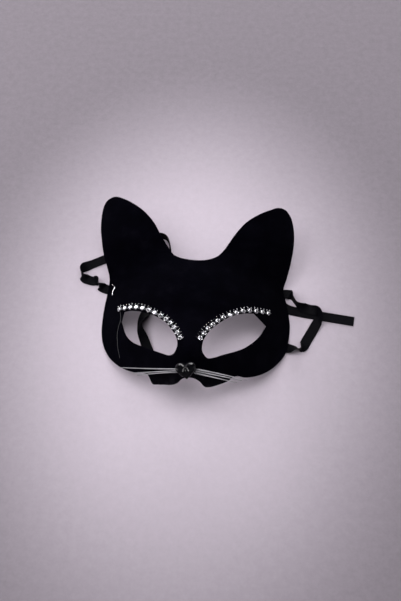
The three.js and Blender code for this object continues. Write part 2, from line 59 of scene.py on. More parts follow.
STAPLE_STANDOFF = 0.6
STAPLE_BURIED = 0.35
HEART_WIDTH = 17.4
HEART_HEIGHT = 16.2
HEART_BODY = 1.6
HEART_BEVEL = 1.7

# Form of the shell, the same as the part's own.
CREST = [(-95, 30), (-70, 37), (-45, 44), (-20, 47.5), (10, 47), (36, 42), (60, 38), (120, 34)]
HALF_WIDTH = [(-95, 68), (-70, 76), (-45, 83), (-20, 88), (10, 88), (35, 87), (120, 87)]
LEFT_NARROWING = 0.97
RIM_LEVEL = 0.4
BROW_SOFT = 3
MUZZLE = {"y": -61, "half_width": 52, "reach_up": 48, "reach_down": 70, "height": 18.5, "squareness": 2.5}
RIDGE = {"half_width": 9, "height": 5, "fade": (-64, -38)}
EAR = {
    "y": 60, "height": 40, "tilt": 0.15, "blend": (22, 64),
    "curl": 0.0075, "curl_from": 45, "curl_soft": 4,
}
WALL = {"y": -74.5, "bend": 6, "half_width": 36, "slope": 3.7, "ends": (36, 44), "foremost": -95.0}
WALL_CORNER = {"sharpest": 1.5, "added": 2.5, "half_width": 10}

# How far each side's rim stands above its lowest stretch, so that the ribbons pass under it:
# a lift, then the y where it begins and the y where it is whole.
RIM_LIFTS = {
    "right": [(1.1, -3, 4), (3.4, 6, 35), (1.7, -18, -26), (3, -26, -50)],
    "left": [(1.7, 12, 20), (3, 20, 40), (3, -34, -54)],
}

# Plan of the rim, then the lower edge of the front wall as x and z, then the eye holes and the trims.
RIM = [
    (40, -69), (48.6, -68.5), (57.7, -65.2), (67.5, -59.1), (77.4, -49.3), (85, -37.8), (88.3, -24.6),
    (89.8, -10), (88.4, 4), (86.2, 15.5), (83.8, 26), (86.6, 36), (90.1, 48.5), (92.8, 65), (93, 79.5),
    (90.4, 92), (85.2, 98.1), (78, 98.4), (69.9, 94), (58.3, 86.8), (46.9, 78.1), (38.4, 68), (31.5, 57.4),
    (25.9, 49.2), (20.1, 43.2), (10.5, 38.7), (-1, 38), (-12.4, 40.2), (-20.4, 44.7), (-26.9, 53.7),
    (-32.7, 62.6), (-39.8, 75.2), (-48.5, 85.7), (-58.7, 94.3), (-71.7, 103.1), (-81.6, 107.8), (-89.8, 106),
    (-93.4, 97.5), (-94, 81.4), (-91.5, 65), (-88.7, 51.7), (-84.9, 40.3), (-83.1, 33), (-84.1, 23),
    (-86.2, 7.1), (-86.9, -9), (-86.3, -21.5), (-83.3, -34.1), (-76.4, -46.6), (-67.6, -55.9), (-57.8, -62.7),
    (-48.2, -66.9), (-37.6, -69.2),
]
WALL_EDGE = [
    (-35.7, 21), (-33.4, 14), (-28.3, 17.6), (-21.6, 22.4), (-15.2, 26.2), (-10.6, 30.8), (-6.2, 38.5),
    (-2, 41.5), (2.7, 41.3), (6.1, 38.9), (9.4, 34.4), (11.8, 28.4), (13.9, 24.9), (17, 23.3), (25.6, 22.4),
    (34.2, 22.4), (36.5, 24.5),
]
EYE_RIGHT = [
    (55.6, -9.3), (47.8, -11.8), (37.8, -16.2), (27.8, -23.5), (17.1, -36.3), (12.3, -46.5), (10.7, -54),
    (11.2, -59.2), (15.4, -63.2), (21.6, -61.1), (27.9, -57.1), (43.8, -47), (51.1, -41.1), (57.5, -34.6),
    (62.3, -27.9), (67.4, -17.9),
]
EYE_LEFT = [
    (-66.3, -17), (-62.5, -27.6), (-58.6, -34.6), (-53, -40.2), (-44.2, -45.8), (-31.6, -53.6),
    (-23.6, -58.4), (-17.4, -61.4), (-12.8, -60.6), (-10.4, -55.6), (-10.6, -49.3), (-13.3, -42.3),
    (-17.4, -35.2), (-22.6, -27.8), (-29.1, -22), (-37.3, -17), (-49.3, -11.5), (-59.7, -8), (-64.4, -7.6),
]
TRIMS = {
    "left": [
        (-68.1, -4.4), (-56.3, -6.5), (-45.8, -10), (-34.1, -16.6), (-23.2, -24.5), (-14.6, -35.8),
        (-7.6, -48.8),
    ],
    "right": [
        (67.9, -5.4), (58.2, -7.3), (46.9, -10.2), (36, -16), (25.7, -23), (16.2, -34.5), (8.4, -48.2),
    ],
}

# The nose's place in plan with its slope and lean in degrees, then each whisker's root in plan with two more
# points of it, then the places of the staples.
NOSE_AT = {"x": -1.9, "y": -72.8, "slope": 55, "lean": 8}
WHISKERS = {
    "left_upper": [(-9.4, -72.7), (-32.6, -73.3, 50), (-59, -71.3, 45)],
    "left_middle": [(-8.6, -73.5), (-28.2, -76, 50), (-47, -76.1, 46)],
    "left_lower": [(-7.4, -74.3), (-25.6, -77.1, 50), (-43.5, -78, 46)],
    "right_upper": [(6.4, -72.7), (26.5, -76.9, 52), (49, -80.1, 48)],
    "right_middle": [(5.8, -73.7), (26.6, -78.7, 52), (45, -80.8, 48)],
    "right_lower": [(4.6, -74.6), (22.4, -80.3, 52), (41, -82.7, 48)],
}
STAPLES = {
    "left": {"x": -78.5, "y": 21.6, "outside": True},
    "right": {"x": 79.2, "y": 20.5, "outside": False},
}

# A fine thread of dried glue that trails from the outer end of the left trim down over the cheek, in plan.
GLUE_THREAD = [
    (-68, -6.6), (-67, -11), (-66.6, -15.2), (-67.6, -18.8), (-68.5, -22.8), (-69, -26.9), (-68.8, -31.6),
    (-67.8, -38.2), (-67, -43), (-64.7, -50.7),
]
# Its half width and half thickness at both ends.
GLUE_START = (0.2, 0.16)
GLUE_END = (0.09, 0.08)

# Spacing of the points along the shell's edges and over its plan, closer together on the front wall.
RIM_STEP = 1.3
WALL_EDGE_STEP = 1.1
EYE_STEP = 1.2
PLAN_PITCH = 1.5
WALL_PITCH = 0.5
WALL_PITCH_BELOW = -68
PLAN_BOX = {"x": (-95, 95), "y": (-86.0, 109)}
EDGE_CLEAR = 0.7
EDGE_BULGE = 0.3

# The heart's shoulder as a share of its body, the width of its rounded flank, then the rise of its face and
# the groove below the notch.
HEART_SHOULDER = 0.7
HEART_FLANK = 1.3
HEART_DOME = 1.5
HEART_CREASE = {"depth": 0.45, "half_width": 1.3, "fade": (-7, 4)}

# Thickness of a whisker as a share of its width.
WHISKER_FLATNESS = 0.8

# How the velvet strays from an even face: height and frequency of a slow and a fine sway, then the height
# of the front wall's crumple, with the y where it begins and the y where it is whole.
SWAY_SLOW = (0.12, 0.09)
SWAY_FINE = (0.05, 0.4)
CRUMPLE = {"height": 0.35, "begins": -74, "whole": -80}

# One stone's cup: its wall as radius and height, then the claws as along, across and height.
CUP_WALL = [
    (1.3, -0.45), (1.82, -0.3), (1.98, 0.2), (2.06, 0.88), (1.96, 1.08), (1.78, 1.0), (1.7, 0.5), (1.2, 0.2),
]
FREE_CLAW = [(1.45, 1.0, 0.3), (1.7, 1.8, 1.0), (1.8, 2.7, 1.3), (1.88, 3.6, 1.2)]
FOLDED_CLAW = [(1.3, -1.35, 0.3), (1.35, -1.55, 1.0), (1.1, -1.2, 1.35), (0.75, -0.8, 1.6)]
# Half width of a claw at both ends and its half thickness.
CLAW = {"root": 0.26, "tip": 0.13, "thick": 0.11}

# The stone's foot and girdle, then its flat top, as radius and height.
STONE_RINGS = [(1.1, 0.2), (1.72, 0.85), (1.72, 1.0)]
STONE_TOP = (1.15, 1.5)

# Two bars link each cup to the next one: where they start and end as shares of the pitch, and their section.
LINK = {"start": 0.24, "end": 0.76, "offset": 0.55, "half": 0.2, "low": 0.1, "high": 0.45}

# Half width and half thickness of the staples' wire, the reach of its bends, and how the outer crown,
# which something has knocked, strays sideways.
STAPLE_SECTION = (0.75, 0.28)
STAPLE_BEND = 0.5
STAPLE_KNOCK = {"push": 3.4, "at": 1.4, "half_width": 2.8, "tilt": 0.25, "shift": 0.5}

# Ribbon surface: spacing of its points, and the thinner weave between the selvedges.
RIBBON_STEP = 1.4
RIBBON_COLUMNS = 12
SELVEDGE_FROM = 0.8
WEAVE_THICK = 0.62

# Camera: angles in degrees, distance and the place that it faces in metres, focal length in picture points,
# and the height of its film in millimetres.
CAMERA = {
    "azimuth": 5.4,
    "elevation": 64,
    "roll": -3.4,
    "distance": 0.65,
    "faces": (0.0065, -0.0083, 0.025),
    "focal": 706.5,
}
PICTURE_HEIGHT = 601
SENSOR = 36

# Soft boxes: azimuth and elevation in degrees, distance, width and height in metres, power in watts.
LIGHTS = {
    "top_left": (300, 75, 1.4, (1.03, 1.03), 6.1),
    "low_back": (0, 15, 1.5, (1.5, 0.6), 19.5),
    "right": (90, 45, 1.5, (1.1, 1.1), 4.5),
    "left": (270, 45, 1.5, (1.1, 1.1), 11),
    "top_back": (30, 75, 1.4, (0.6, 0.6), 4.4),
    "low_left": (300, 15, 1.5, (0.65, 0.65), 4.6),
    "front": (184, 21, 1.4, (0.08, 0.36), 2.1),
}

LIGHT_COLOR = (1.0, 0.985, 1.0)
SKY_COLOR = (0.98, 0.95, 1.0)
SKY_STRENGTH = {"front": 0.02, "back": 0.12}

# The table is palest in the middle of an oval, with half sizes in metres, and darkens toward the oval's rim:
# painted shade, the falloff of light away from the middle.
TABLE_REACH = 2.0
TABLE_COLOR = (0.712, 0.636, 0.722)
TABLE_FALLOFF_OVAL = {"half_x": 0.25, "half_y": 0.347, "shift": (0.016, 0.091, 0), "fade": (0.13, 0.99)}
TABLE_PAINTED_FALLOFF = {"middle": 0.87, "far": 0.25}

# Ribbon routes: x, y, height of the lower edge (below zero: depth under the shell) and bank in degrees.
RIBBON_ROUTES = {
    "left": [
        (-73.5, 21.6, -0.5, 0), (-78.5, 21.6, -0.42, 0), (-82.8, 23.4, -1.6, 0), (-86.4, 25.2, 0.35, 0),
        (-89.4, 26.2, 0.3, -6), (-92.2, 26.8, 0.25, -64), (-93.7, 27.8, 0.25, -86),
        (-94.1, 29.6, 0.25, -94), (-94.7, 31.5, 0.25, -66), (-97.5, 33.3, 0.25, -32),
        (-100.8, 33.7, 0.25, -8), (-104.6, 34.8, 0.25, 0), (-108.8, 35.8, 0.25, -32),
        (-111.6, 38.4, 0.25, -80), (-112.3, 41.8, 0.25, -92), (-111.4, 45.4, 0.25, -116),
        (-107.8, 49.6, 0.25, -162), (-102, 53.2, 0.25, -180), (-94, 57.2, 0.25, -180),
        (-84, 62.2, 0.25, -180), (-50, 79, 0.25, -166), (-40.5, 82.8, 0.25, -125), (-35, 83.8, 0.25, -98),
        (-30.9, 81.6, 0.25, -92), (-28.5, 77, 0.25, -92), (-27.4, 70, 0.25, -102),
        (-28.6, 60, 0.25, -145), (-35, 38, 0.25, -180), (-41.5, 17, 0.25, -180), (-46, 2, 0.25, -172),
        (-49.5, -6.5, 0.25, -140), (-50.9, -13, 0.25, -120), (-50, -18, 0.25, -128),
        (-46.4, -25.6, 0.25, -152), (-42.2, -35.5, 0.25, -166), (-37, -45, 0.25, -180),
        (-27, -52.5, 0.25, -180), (12, -54, 0.25, -180), (34, -53, 0.25, -180), (47, -52, 0.25, -180),
    ],
    "right": [
        (74, 20.5, -0.42, 0), (79.2, 20.5, -0.42, 0), (82.9, 21.9, -1.5, 0), (86.2, 24.5, 0.9, -2),
        (88.8, 24.1, 0.9, 8), (90.8, 21.7, 1, 58), (92.4, 18.6, 1, 86), (94.1, 15.4, 1, 90),
        (96.4, 12.2, 1, 88), (99.4, 10.2, 1, 70), (103, 9.4, 1, 30), (108.6, 8.9, 1, 4),
        (113.6, 7, 1, 30), (117, 4, 1, 66), (117.8, 0, 0.9, 58), (115.4, -5, 0.6, 18),
        (110.3, -14.3, 0.25, 0), (105.2, -23.3, 0.25, 0), (102.6, -28.5, 0.25, -14),
        (100.6, -31.2, 0.25, -54), (98.8, -33.7, 0.25, -90), (94.6, -33, 0.25, -130),
        (90, -31.9, 0.25, -170), (82.6, -28.7, 0.25, -180), (76.5, -21, 0.25, -160),
        (74.6, -11, 0.25, -155), (73.2, 0, 0.25, -170), (66, 8.5, 0.25, -180), (52, 12.5, 0.25, -180),
        (30, 14.5, 0.25, -180), (17, 19, 0.25, -135), (14.5, 25.5, 0.25, -95), (20, 31, 0.25, -135),
        (34, 31, 0.25, -180), (60, 25.6, 0.25, -180), (79.5, 15, 0.25, -180), (88, 8.8, 0.25, -180),
        (100, 5.8, 0.25, -180), (116, 3.1, 0.25, -180), (150, -2.2, 0.25, -180),
    ],
}


def rise(a, b, t):
    """Smooth rise from 0 at a to 1 at b."""
    s = min(1.0, max(0.0, (t - a) / (b - a)))
    return s * s * (3 - 2 * s)


def mix(a, b, t):
    return a + (b - a) * t


def soft_positive(t, soft):
    """Zero below zero and t above it, with a soft bend of the given size."""
    return 0.5 * (t + math.sqrt(t * t + soft * soft))


def slopes_of(stations, values):
    last = len(stations) - 1
    out = []
    for i in range(last + 1):
        a, b = max(0, i - 1), min(last, i + 1)
        out.append((values[b] - values[a]) / (stations[b] - stations[a]))
    return out


def through(stations, values, slopes, t):
    """Value at t of the smooth curve through the values."""
    last = len(stations) - 1
    at = min(stations[last], max(stations[0], t))
    i = 0
    while i < last - 1 and at > stations[i + 1]:
        i += 1
    h = stations[i + 1] - stations[i]
    s = (at - stations[i]) / h
    r = 1 - s
    return (
        (1 + 2 * s) * r * r * values[i]
        + s * r * r * h * slopes[i]
        + s * s * (3 - 2 * s) * values[i + 1]
        - s * s * r * h * slopes[i + 1]
    )


def profile(pairs):
    """A function of t from station and value pairs."""
    stations = [p[0] for p in pairs]
    values = [p[1] for p in pairs]
    slopes = slopes_of(stations, values)
    return lambda t: through(stations, values, slopes, t)


def smooth_run(points, step):
    """Points along the smooth curve through the given ones, closer where a fourth number, the bank, turns."""
    stations = [0.0]
    for a, b in zip(points, points[1:]):
        d = [v - w for v, w in zip(b, a)]
        twist = TWIST_STEP * abs(d[3]) if len(d) > 3 else 0.0
        stations.append(stations[-1] + math.hypot(*d[:3]) + twist)
    axes = [[p[k] for p in points] for k in range(len(points[0]))]
    slopes = [slopes_of(stations, values) for values in axes]
    total = stations[-1]
    count = round(total / step)
    return [
        tuple(through(stations, axes[k], slopes[k], total * i / count) for k in range(len(axes)))
        for i in range(count + 1)
    ]


crest_at = profile(CREST)
half_width_at = profile(HALF_WIDTH)


def rim_lift(x, y):
    side = "right" if x > 0 else "left"
    return sum(lift * rise(begins, whole, y) for lift, begins, whole in RIM_LIFTS[side])


def face(x, y):
    """Height of the shell's outer face over the plan."""
    a = abs(x)
    half = half_width_at(y) * (LEFT_NARROWING if x < 0 else 1)
    low = RIM_LEVEL + rim_lift(x, y)
    brow = low + soft_positive(crest_at(y) * (1 - (a / half) ** 2) - low, BROW_SOFT)
    curl = soft_positive(a - EAR["curl_from"], EAR["curl_soft"])
    ear = EAR["height"] + EAR["tilt"] * (y - EAR["y"]) - EAR["curl"] * curl ** 2
    away = (y - MUZZLE["y"]) / (MUZZLE["reach_up"] if y > MUZZLE["y"] else MUZZLE["reach_down"])
    power = MUZZLE["squareness"]
    spread = ((a / MUZZLE["half_width"]) ** power + abs(away) ** power) ** (1 / power)
    middle = math.exp(-((a / RIDGE["half_width"]) ** 2))
    wall_line = WALL["y"] + WALL["bend"] * (a / WALL["half_width"]) ** 2
    near_middle = math.exp(-((a / WALL_CORNER["half_width"]) ** 2))
    corner = WALL_CORNER["sharpest"] + WALL_CORNER["added"] * near_middle
    return (
        brow
        + (ear - brow) * rise(*EAR["blend"], y)
        + MUZZLE["height"] * rise(0, 1, 1 - spread)
        + RIDGE["height"] * middle * (1 - rise(*RIDGE["fade"], y))
        - WALL["slope"] * soft_positive(wall_line - y, corner) * (1 - rise(*WALL["ends"], a))
    )


def normal_at(x, y):
    d = 0.02
    fx = (face(x + d, y) - face(x - d, y)) / (2 * d)
    fy = (face(x, y + d) - face(x, y - d)) / (2 * d)
    return Vector((-fx, -fy, 1)).normalized()


def on_face(x, y, height):
    """Point at a height above the outer face, measured along its normal."""
    return Vector((x, y, face(x, y))) + normal_at(x, y) * height


def on_wall(point):
    """Plan point of the front wall at a given x and height, found by halving the stretch that it is in."""
    x, z = point
    high, low = WALL["y"] + 6, WALL["foremost"]
    for _ in range(40):
        y = (high + low) / 2
        if face(x, y) > z:
            high = y
        else:
            low = y
    return (x, (high + low) / 2)


def metres(p):
    """A point of the plan's frame, in millimetres, in the part's own frame."""
    return Vector(((p[0] - CENTRE[0]) / 1000, (p[1] - CENTRE[1]) / 1000, p[2] / 1000))


def add_object(name, data):
    """Puts a new object with this mesh, camera or light in the scene."""
    thing = bpy.data.objects.new(name, data)
    bpy.context.collection.objects.link(thing)
    return thing


class Shape:
    """Points and faces of one piece, gathered part by part, in millimetres."""

    def __init__(self):
        self.points = []
        self.faces = []
        self.slots = []

    def add(self, points, faces, slot=0):
        first = len(self.points)
        self.points += points
        self.faces += [tuple(first + i for i in one) for one in faces]
        self.slots += [slot] * len(faces)

    def loft(self, rings, slot=0):
        """Rings of equal point counts joined into a rod that is closed at both ends."""
        m = len(rings[0])
        faces = []
        for i in range(len(rings) - 1):
            for k in range(m):
                a = i * m + k
                b = i * m + (k + 1) % m
                faces.append((a, b, b + m, a + m))
        last = (len(rings) - 1) * m
        faces.append(tuple(reversed(range(m))))
        faces.append(tuple(range(last, last + m)))
        self.add([p for ring in rings for p in ring], faces, slot)

    def hoop(self, rings, slot=0):
        """Rings of equal point counts joined into one closed hoop."""
        m, n = len(rings[0]), len(rings)
        faces = []
        for i in range(n):
            for k in range(m):
                a, b = i * m + k, i * m + (k + 1) % m
                c, d = ((i + 1) % n) * m + (k + 1) % m, ((i + 1) % n) * m + k
                faces.append((a, b, c, d))
        self.add([p for ring in rings for p in ring], faces, slot)

    def build(self, name, materials, node, crease=180.0):
        """Makes the piece, which rides on the part and stands for one of its solids."""
        mesh = bpy.data.meshes.new(name)
        mesh.from_pydata([metres(p) for p in self.points], [], self.faces)
        for material in materials:
            mesh.materials.append(material)
        mesh.polygons.foreach_set("material_index", self.slots)
        mesh.polygons.foreach_set("use_smooth", [True] * len(mesh.polygons))
        work = bmesh.new()
        work.from_mesh(mesh)
        bmesh.ops.recalc_face_normals(work, faces=work.faces)
        work.to_mesh(mesh)
        work.free()
        if crease < 180:
            mesh.set_sharp_from_angle(angle=math.radians(crease))
        mesh.update()
        piece = add_object(name, mesh)
        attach(piece, "root")
        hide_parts(node)
        return piece


class Nodes:
    """Short hand for building one node material."""

    def __init__(self, name):
        self.material = bpy.data.materials.new(name)
        self.material.use_nodes = True
        self.tree = self.material.node_tree
        self.shader = self.tree.nodes["Principled BSDF"]
        self.coords = self.add("ShaderNodeTexCoord")

    def add(self, kind, **values):
        node = self.tree.nodes.new(kind)
        for key, value in values.items():
            setattr(node, key, value)
        return node

    def link(self, source, target):
        self.tree.links.new(source, target)

    def feed(self, source, name):
        self.link(source, self.shader.inputs[name])

    def set(self, **sockets):
        for name, value in sockets.items():
            self.shader.inputs[name.replace("_", " ")].default_value = value

    def place(self, scale, shift=(0, 0, 0)):
        """Object coordinates, in metres, times a scale for each axis, then shifted."""
        mapping = self.add("ShaderNodeMapping")
        mapping.inputs["Scale"].default_value = scale
        mapping.inputs["Location"].default_value = shift
        self.link(self.coords.outputs["Object"], mapping.inputs["Vector"])
        return mapping.outputs["Vector"]

    def noise(self, scale, detail, roughness, stretch=(1, 1, 1)):
        node = self.add("ShaderNodeTexNoise")
        node.inputs["Scale"].default_value = scale
        node.inputs["Detail"].default_value = detail
        node.inputs["Roughness"].default_value = roughness
        self.link(self.place(stretch), node.inputs["Vector"])
        return node.outputs["Fac"]

    def ramp(self, source, stops):
        node = self.add("ShaderNodeValToRGB")
        elements = node.color_ramp.elements
        while len(elements) < len(stops):
            elements.new(0.5)
        for element, (place, color) in zip(elements, stops):
            element.position = place
            element.color = (*color, 1)
        self.link(source, node.inputs["Fac"])
        return node.outputs["Color"]

    def spread(self, source, low, high, a=0.3, b=0.7, kind="LINEAR"):
        node = self.add("ShaderNodeMapRange", interpolation_type=kind)
        for name, value in (("From Min", a), ("From Max", b), ("To Min", low), ("To Max", high)):
            node.inputs[name].default_value = value
        self.link(source, node.inputs["Value"])
        return node.outputs["Result"]

    def shade(self, source, dark, pale):
        """Base colour from dark to pale as the source rises."""
        self.feed(self.ramp(source, [(0.3, dark), (0.7, pale)]), "Base Color")

    def rough(self, source, low, high):
        self.feed(self.spread(source, low, high), "Roughness")

    def math(self, operation, a, b):
        node = self.add("ShaderNodeMath", operation=operation)
        for socket, value in zip(node.inputs, (a, b)):
            if isinstance(value, (int, float)):
                socket.default_value = value
            else:
                self.link(value, socket)
        return node.outputs["Value"]

    def bump(self, source, strength, distance, under=None):
        node = self.add("ShaderNodeBump")
        node.inputs["Strength"].default_value = strength
        node.inputs["Distance"].default_value = distance
        self.link(source, node.inputs["Height"])
        if under is not None:
            self.link(under, node.inputs["Normal"])
        return node.outputs["Normal"]


def velvet_material():
    """Short black pile: almost no shine, faint brushed patches, and painted sheen in slanting streaks that
    makes the front wall paler.
    """
    m = Nodes("velvet")
    nap = m.noise(70, detail=4, roughness=0.6)
    pile = m.noise(2600, detail=2, roughness=0.6)
    streak = m.noise(150, detail=3, roughness=0.6, stretch=(1.0, 0.5, 0.35))
    apart = m.add("ShaderNodeSeparateXYZ")
    m.link(m.coords.outputs["Object"], apart.inputs["Vector"])
    # The front wall is painted paler in slanting streaks: painted sheen, where the velvet meets the light at
    # a grazing angle.
    wall_from, wall_to = -0.084, -0.092
    front = m.spread(apart.outputs["Y"], 1.0, 0.0, wall_to, wall_from, "SMOOTHSTEP")
    painted_front_sheen = m.math("MULTIPLY", front, m.spread(streak, 0.2, 0.62, 0.42, 0.66))
    tone = m.math("ADD", m.math("MULTIPLY", nap, 0.7), m.math("MULTIPLY", pile, 0.3))
    dark, middle, pale = (0.0004, 0.0003, 0.0012), (0.0007, 0.0006, 0.0019), (0.0022, 0.002, 0.0038)
    # The palest stop is the painted sheen of the front wall.
    wear_and_sheen = (0.009, 0.0085, 0.0115)
    stops = [(0.36, dark), (0.52, middle), (0.7, pale), (1.0, wear_and_sheen)]
    m.feed(m.ramp(m.math("ADD", tone, painted_front_sheen), stops), "Base Color")
    m.rough(nap, 0.9, 1.0)
    m.set(Specular_IOR_Level=0.01, Sheen_Weight=0.01, Sheen_Roughness=0.5, Sheen_Tint=(0.7, 0.66, 0.9, 1))
    coarse = m.bump(nap, 0.25, 0.0006)
    m.feed(m.bump(pile, 0.5, 0.00025, coarse), "Normal")
    return m.material


def lining_material():
    """Inner face of the formed shell: dull black plastic with a pebbled grain."""
    m = Nodes("lining")
    grain = m.noise(900, detail=3, roughness=0.6)
    m.shade(grain, (0.006, 0.006, 0.008), (0.013, 0.013, 0.016))
    m.rough(grain, 0.45, 0.62)
    m.feed(m.bump(grain, 0.25, 0.0002), "Normal")
    return m.material


def satin_material():
    """Black satin: fine threads, a soft sheen and slight creases."""
    m = Nodes("satin")
    threads = m.noise(1400, detail=2, roughness=0.5)
    crease = m.noise(90, detail=3, roughness=0.5)
    tone = m.math("ADD", m.math("MULTIPLY", crease, 0.5), m.math("MULTIPLY", threads, 0.5))
    m.shade(tone, (0.0013, 0.0013, 0.0021), (0.004, 0.0039, 0.0056))
    m.rough(crease, 0.42, 0.6)
    m.set(Specular_IOR_Level=0.03, Sheen_Weight=0.004, Sheen_Roughness=0.4, Sheen_Tint=(0.9, 0.88, 0.98, 1))
    m.feed(m.bump(threads, 0.4, 0.0001, m.bump(crease, 0.2, 0.0004)), "Normal")
    return m.material


def gloss_material():
    """Moulded black plastic with a clear gloss and faint haze."""
    m = Nodes("gloss_black")
    haze = m.noise(160, detail=3, roughness=0.6)
    m.shade(haze, (0.003, 0.003, 0.004), (0.006, 0.006, 0.0075))
    m.rough(haze, 0.1, 0.16)
    m.set(Specular_IOR_Level=0.34)
    m.feed(m.bump(haze, 0.04, 0.0003), "Normal")
    return m.material


def bristle_material():
    """Pale grey nylon with streaks along the bristle."""
    m = Nodes("bristle")
    streak = m.noise(260, detail=3, roughness=0.6, stretch=(0.35, 1.6, 1.6))
    m.shade(streak, (0.2, 0.195, 0.21), (0.4, 0.39, 0.42))
    m.rough(streak, 0.3, 0.5)
    m.feed(m.bump(streak, 0.3, 0.0002), "Normal")
    return m.material


def silver_material():
    """Polished metal of the cups and the staples, slightly worn."""
    m = Nodes("silver")
    wear_and_sheen = m.noise(700, detail=3, roughness=0.6)
    m.shade(wear_and_sheen, (0.68, 0.68, 0.7), (0.92, 0.92, 0.95))
    m.rough(wear_and_sheen, 0.1, 0.24)
    m.set(Metallic=1.0)
    m.feed(m.bump(wear_and_sheen, 0.15, 0.0001), "Normal")
    return m.material


def dull_metal_material():
    """Darkened metal of the links between the cups."""
    m = Nodes("dull_metal")
    wear_and_sheen = m.noise(700, detail=3, roughness=0.6)
    m.shade(wear_and_sheen, (0.1, 0.1, 0.11), (0.26, 0.26, 0.28))
    m.rough(wear_and_sheen, 0.3, 0.5)
    m.set(Metallic=1.0)
    return m.material


def crystal_material():
    """Foil-backed glass: each facet mirrors what it faces."""
    m = Nodes("crystal")
    fleck = m.noise(900, detail=2, roughness=0.5)
    m.feed(m.ramp(fleck, [(0.35, (0.6, 0.6, 0.64)), (0.65, (0.95, 0.95, 1.0))]), "Base Color")
    m.rough(fleck, 0.02, 0.09)
    m.set(Metallic=1.0, Coat_Weight=1.0, Coat_Roughness=0.02)
    return m.material


def glue_material():
    """Dried clear glue that the black under it shows through."""
    m = Nodes("dried_glue")
    cloud = m.noise(900, detail=2, roughness=0.5)
    m.shade(cloud, (0.025, 0.025, 0.027), (0.075, 0.075, 0.08))
    m.rough(cloud, 0.25, 0.45)
    return m.material


def table_material():
    """Pale lilac paper, finely mottled, with painted shade that darkens it away from the middle."""
    m = Nodes("table")
    fine = m.noise(420, detail=3, roughness=0.6)
    mottle = m.noise(150, detail=2, roughness=0.55)
    away = m.add("ShaderNodeVectorMath", operation="LENGTH")
    over_oval = (1 / TABLE_FALLOFF_OVAL["half_x"], 1 / TABLE_FALLOFF_OVAL["half_y"], 0)
    m.link(m.place(over_oval, TABLE_FALLOFF_OVAL["shift"]), away.inputs[0])
    pale, dark = TABLE_PAINTED_FALLOFF["middle"], TABLE_PAINTED_FALLOFF["far"]
    # The colour falls from the middle level to the far one: painted shade of the light's falloff.
    level = m.spread(away.outputs["Value"], pale, dark, *TABLE_FALLOFF_OVAL["fade"], "SMOOTHSTEP")
    grain = m.math("ADD", m.math("MULTIPLY", fine, 0.06), m.math("MULTIPLY", mottle, 0.08))
    m.feed(m.ramp(m.math("ADD", level, grain), [(0.0, (0.0, 0.0, 0.0)), (1.0, TABLE_COLOR)]), "Base Color")
    m.set(Roughness=0.9, Specular_IOR_Level=0.15)
    m.feed(m.bump(fine, 0.15, 0.0003), "Normal")
    return m.material


VELVET = velvet_material()
LINING = lining_material()
SATIN = satin_material()
GLOSS = gloss_material()
BRISTLE = bristle_material()
SILVER = silver_material()
CRYSTAL = crystal_material()
DULL_METAL = dull_metal_material()
GLUE = glue_material()


# Camera, lights and table.
def set_camera():
    azimuth, elevation, roll = (math.radians(CAMERA[key]) for key in ("azimuth", "elevation", "roll"))
    reach = math.cos(elevation)
    back = Vector((math.sin(azimuth) * reach, -math.cos(azimuth) * reach, math.sin(elevation)))
    level = Vector((math.cos(azimuth), math.sin(azimuth), 0))
    raised = back.cross(level)
    right = level * math.cos(roll) + raised * math.sin(roll)
    up = raised * math.cos(roll) - level * math.sin(roll)
    data = bpy.data.cameras.new("camera")
    data.sensor_width = SENSOR
    data.lens = CAMERA["focal"] * SENSOR / PICTURE_HEIGHT
    data.clip_start, data.clip_end = 0.05, 20
    camera = add_object("camera", data)
    place = Vector(CAMERA["faces"]) + back * CAMERA["distance"]
    turn = Matrix((right, up, back)).transposed().to_4x4()
    camera.matrix_world = Matrix.Translation(place) @ turn
    bpy.context.scene.camera = camera


def area_light(name, azimuth, elevation, distance, size, power):
    """Soft box that faces the part, its azimuth counted from the back toward the right."""
    turn, height = math.radians(azimuth), math.radians(elevation)
    toward = Vector((math.sin(turn) * math.cos(height), math.cos(turn) * math.cos(height), math.sin(height)))
    data = bpy.data.lights.new(name, "AREA")
    data.shape = "RECTANGLE"
    data.size, data.size_y = size
    data.energy = power
    data.color = LIGHT_COLOR
    light = add_object(name, data)
    light.location = toward * distance
    light.rotation_euler = toward.to_track_quat("Z", "Y").to_euler()


def set_world():
    """Weak soft surround, darker in front."""
    world = bpy.data.worlds.new("studio")
    world.use_nodes = True
    tree = world.node_tree
    sky = tree.nodes["Background"]
    sky.inputs["Color"].default_value = (*SKY_COLOR, 1)
    coords = tree.nodes.new("ShaderNodeTexCoord")
    apart = tree.nodes.new("ShaderNodeSeparateXYZ")
    depth = tree.nodes.new("ShaderNodeMapRange")
    depth.inputs["From Min"].default_value = -0.4
    depth.inputs["To Min"].default_value = SKY_STRENGTH["front"]
    depth.inputs["To Max"].default_value = SKY_STRENGTH["back"]
    tree.links.new(coords.outputs["Generated"], apart.inputs["Vector"])
    tree.links.new(apart.outputs["Y"], depth.inputs["Value"])
    tree.links.new(depth.outputs["Result"], sky.inputs["Strength"])
    bpy.context.scene.world = world


def set_stage():
    """Studio surround, soft boxes and the pale table."""
    bpy.context.scene.view_settings.view_transform = "Standard"
    set_world()
    for name, light in LIGHTS.items():
        area_light(name, *light)
    mesh = bpy.data.meshes.new("table")
    corners = [(TABLE_REACH * x, TABLE_REACH * y, 0) for x, y in ((-1, -1), (1, -1), (1, 1), (-1, 1))]
    mesh.from_pydata(corners, [], [(0, 1, 2, 3)])
    mesh.materials.append(table_material())
    add_object("table", mesh)


